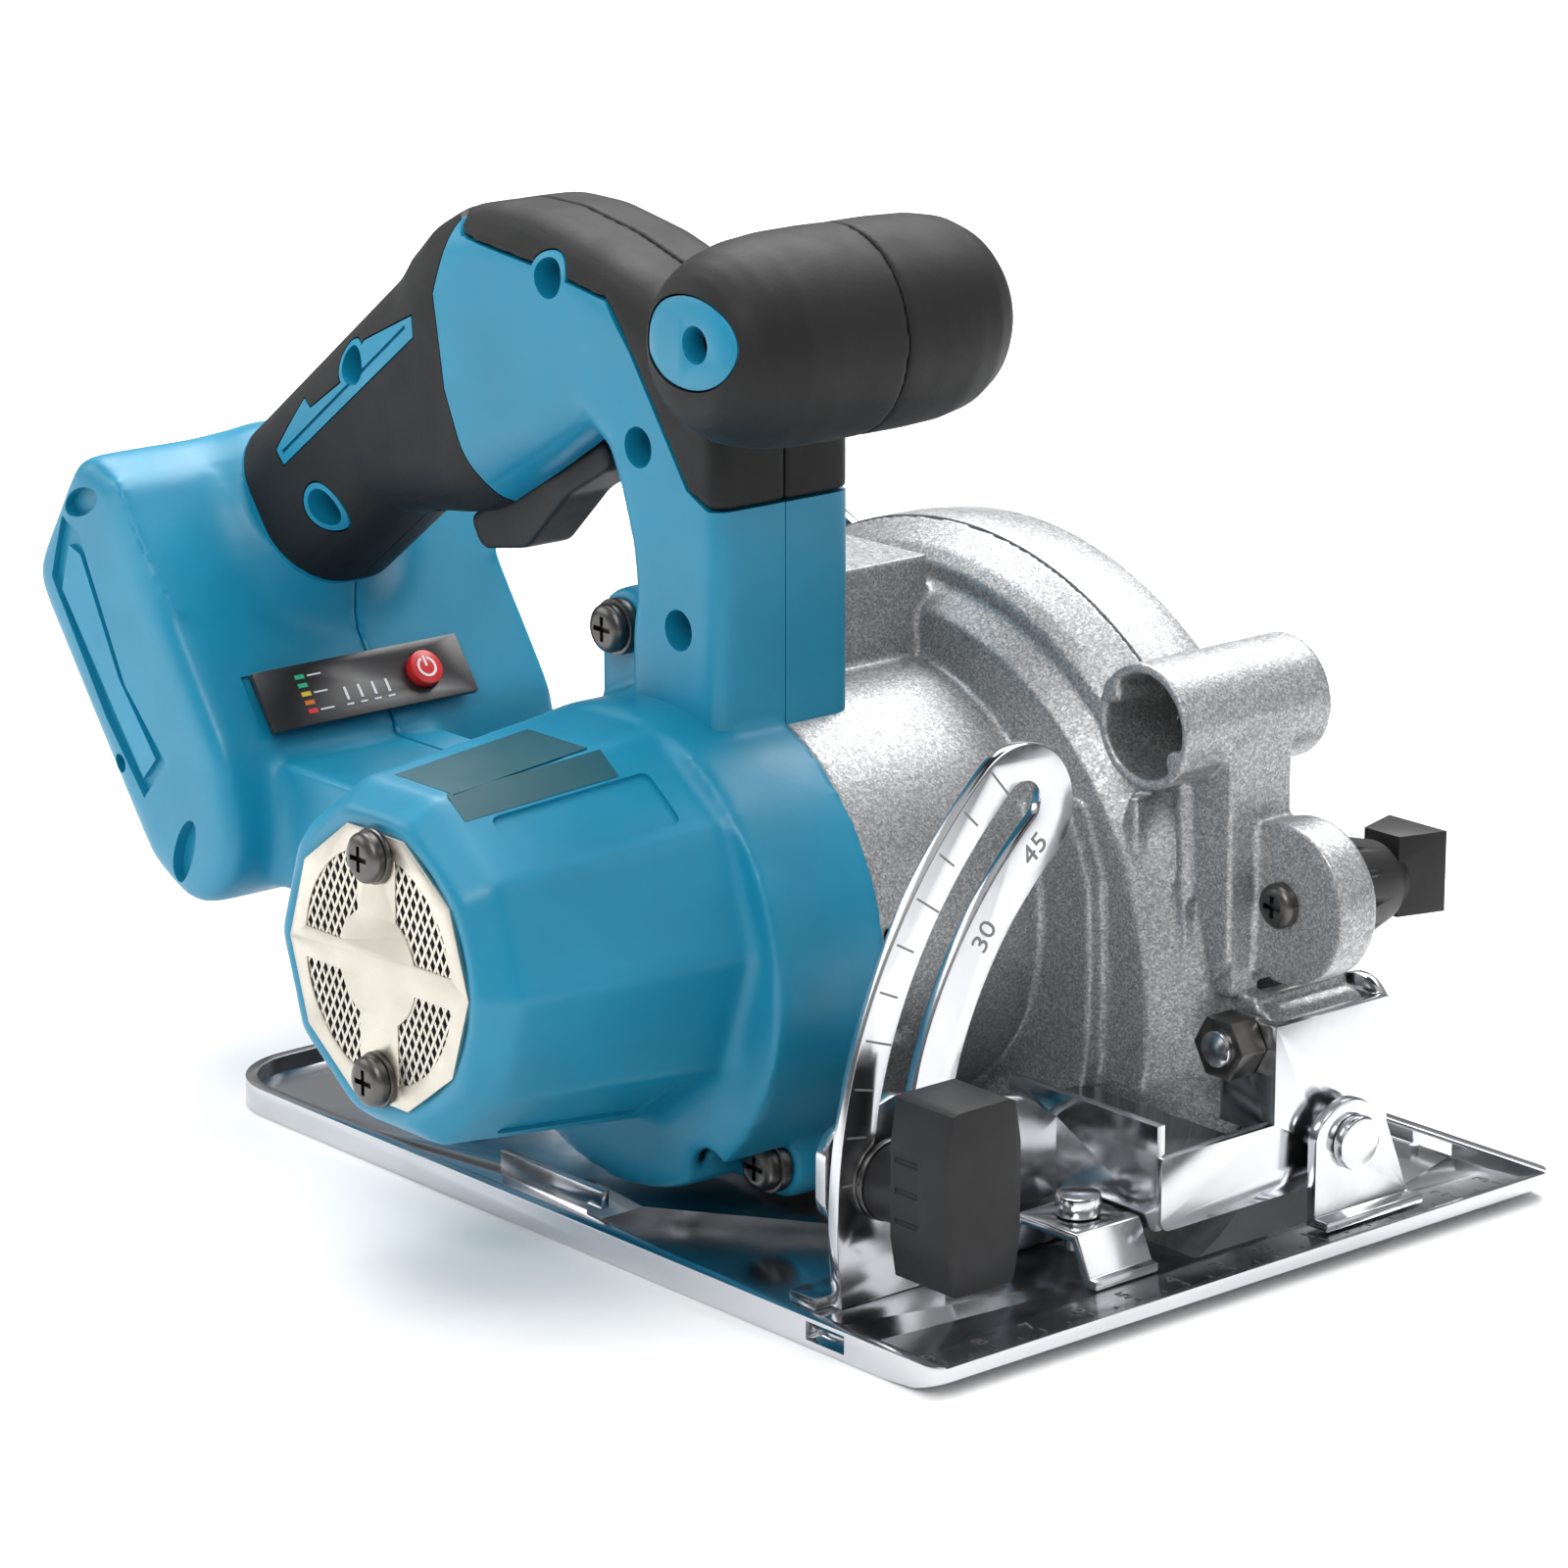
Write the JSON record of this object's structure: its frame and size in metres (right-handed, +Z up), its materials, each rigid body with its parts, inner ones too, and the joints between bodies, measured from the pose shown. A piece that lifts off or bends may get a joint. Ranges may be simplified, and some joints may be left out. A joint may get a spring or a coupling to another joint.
{
  "type": "cordless circular saw",
  "caption": "Small cordless circular saw with a left-hand blade, motor barrel, looped handle, front grip, tilting plated base and battery dock.",
  "frame": {"origin": "on the sole of the base, in the blade's middle plane, straight below the arbor", "axes": "+X forwards along the cut, +Y to the saw's left (the blade side), +Z up; the motor points to -Y"},
  "size_m": [0.2369, 0.1672, 0.1951],
  "materials": {
    "plated_steel": "bright zinc or chrome plated pressed steel",
    "dark_steel": "blackened steel fasteners",
    "bright_steel": "machined steel",
    "guard_steel": "pressed and plated guard sheet",
    "blade_steel": "ground saw blade steel",
    "cast_alloy": "silver sparkle paint on die casting",
    "nickel_sheet": "nickel plated sheet",
    "lamination": "electrical steel and copper",
    "blue_plastic": "satin moulded shell, fine texture",
    "black_plastic": "moulded black plastic",
    "black_rubber": "soft overmoulded grip",
    "panel_black": "glossy display window",
    "red_plastic": "gloss button cap",
    "board_green": "circuit board"
  },
  "bodies": {
    "base": {"base_plate": "plated_steel", "bevel_quadrant": "plated_steel", "front_hinge_ear": "plated_steel", "rear_hinge_ear": "plated_steel", "hinge_rivets": "plated_steel", "fence_clamp": "plated_steel"},
    "fence_screw": {"fence_clamp_screw": "plated_steel"},
    "tilt_frame": {"tilt_bracket": "plated_steel", "depth_guide": "plated_steel", "bevel_lock_bolt": "dark_steel", "bevel_lock_washer": "dark_steel", "pivot_bolt": "plated_steel", "pivot_nut": "dark_steel"},
    "bevel_knob": {"bevel_lock_knob": "black_plastic"},
    "guard": {"lower_guard": "guard_steel", "guard_lever": "black_plastic"},
    "blade_drive": {"spindle": "bright_steel", "spindle_gear": "bright_steel", "inner_flange": "bright_steel", "saw_blade": "blade_steel", "outer_flange": "bright_steel", "blade_bolt": "dark_steel"},
    "rotor": {"rotor_shaft": "bright_steel", "pinion": "bright_steel", "rotor_core": "lamination", "cooling_fan": "black_plastic"},
    "trigger": {"trigger": "black_plastic"},
    "lock_off": {"lock_off_button": "black_plastic"},
    "power": {"power_button": "red_plastic"},
    "nose_knob": {"nose_knob": "black_plastic"},
    "depth_lever": {"depth_lock_lever": "black_plastic"},
    "saw": {"gear_case": "cast_alloy", "blade_cover": "cast_alloy", "guard_spring": "dark_steel", "stator": "lamination", "motor_bearings": "bright_steel", "spindle_bearings": "bright_steel", "bearing_plate": "cast_alloy", "rear_grip_right": "black_rubber", "rear_grip_left": "black_rubber", "top_cover_right": "black_rubber", "top_cover_left": "black_rubber", "right_housing": "blue_plastic", "left_housing": "blue_plastic", "handle_screws": "dark_steel", "flange_screws": "dark_steel", "end_plate_screws": "dark_steel", "screw_washers": "dark_steel", "motor_end_plate": "nickel_sheet", "front_grip_right": "black_rubber", "front_grip_left": "black_rubber", "front_grip_inset": "blue_plastic", "trigger_switch": "black_plastic", "status_panel": "panel_black", "control_board": "board_green", "battery_terminals": "black_plastic", "knob_collar": "black_plastic", "nose_screw": "dark_steel", "depth_lock_bolt": "plated_steel"}
  },
  "joints": [
    {"name": "fence_screw_turn", "type": "hinge", "parent": "base", "child": "fence_screw", "pos_m": [0.0695, -0.0453, 0.012], "axis": [0, 0, 1], "range_deg": [0, 360]},
    {"name": "bevel_tilt", "type": "hinge", "parent": "base", "child": "tilt_frame", "pos_m": [0, 0, 0.0155], "axis": [-1, 0, 0], "range_deg": [0, 45]},
    {"name": "bevel_knob_turn", "type": "hinge", "parent": "tilt_frame", "child": "bevel_knob", "pos_m": [0.075, -0.0773, 0.02104], "axis": [1, 0, 0], "range_deg": [0, 180]},
    {"name": "depth_swing", "type": "hinge", "parent": "tilt_frame", "child": "saw", "pos_m": [0.073, 0, 0.032], "axis": [0, 1, 0], "range_deg": [0, 22]},
    {"name": "depth_lever_turn", "type": "hinge", "parent": "saw", "child": "depth_lever", "pos_m": [-0.061, 0.018, 0.032], "axis": [0, 1, 0], "range_deg": [0, 60]},
    {"name": "guard_swing", "type": "hinge", "parent": "saw", "child": "guard", "pos_m": [0, 0, 0.032], "axis": [0, 1, 0], "range_deg": [0, 130], "stiffness_Nm_per_rad": 0.06, "springref_deg": -28.65},
    {"name": "blade_spin", "type": "hinge", "parent": "saw", "child": "blade_drive", "pos_m": [0, 0, 0.032], "axis": [0, 1, 0], "continuous": true},
    {"name": "rotor_spin", "type": "hinge", "parent": "saw", "child": "rotor", "pos_m": [0, -0.09, 0.05], "axis": [0, 1, 0], "continuous": true},
    {"name": "trigger_press", "type": "slide", "parent": "saw", "child": "trigger", "axis": [-0.6203, 0, 0.7844], "range_m": [0, 0.004], "stiffness_N_per_m": 900, "springref_m": -0.003},
    {"name": "lock_off_press", "type": "slide", "parent": "saw", "child": "lock_off", "axis": [0, -1, 0], "range_m": [0, 0.003], "stiffness_N_per_m": 400, "springref_m": -0.001},
    {"name": "power_press", "type": "slide", "parent": "saw", "child": "power", "axis": [-0.8, 0, -0.6], "range_m": [0, 0.0005], "stiffness_N_per_m": 600, "springref_m": -0.0004},
    {"name": "nose_knob_turn", "type": "hinge", "parent": "saw", "child": "nose_knob", "pos_m": [0.076, 0.017, 0.054], "axis": [0, 1, 0], "range_deg": [0, 90]}
  ],
  "couplings": [
    {"joint": "rotor_spin", "follows": "blade_spin", "ratio": -4}
  ]
}
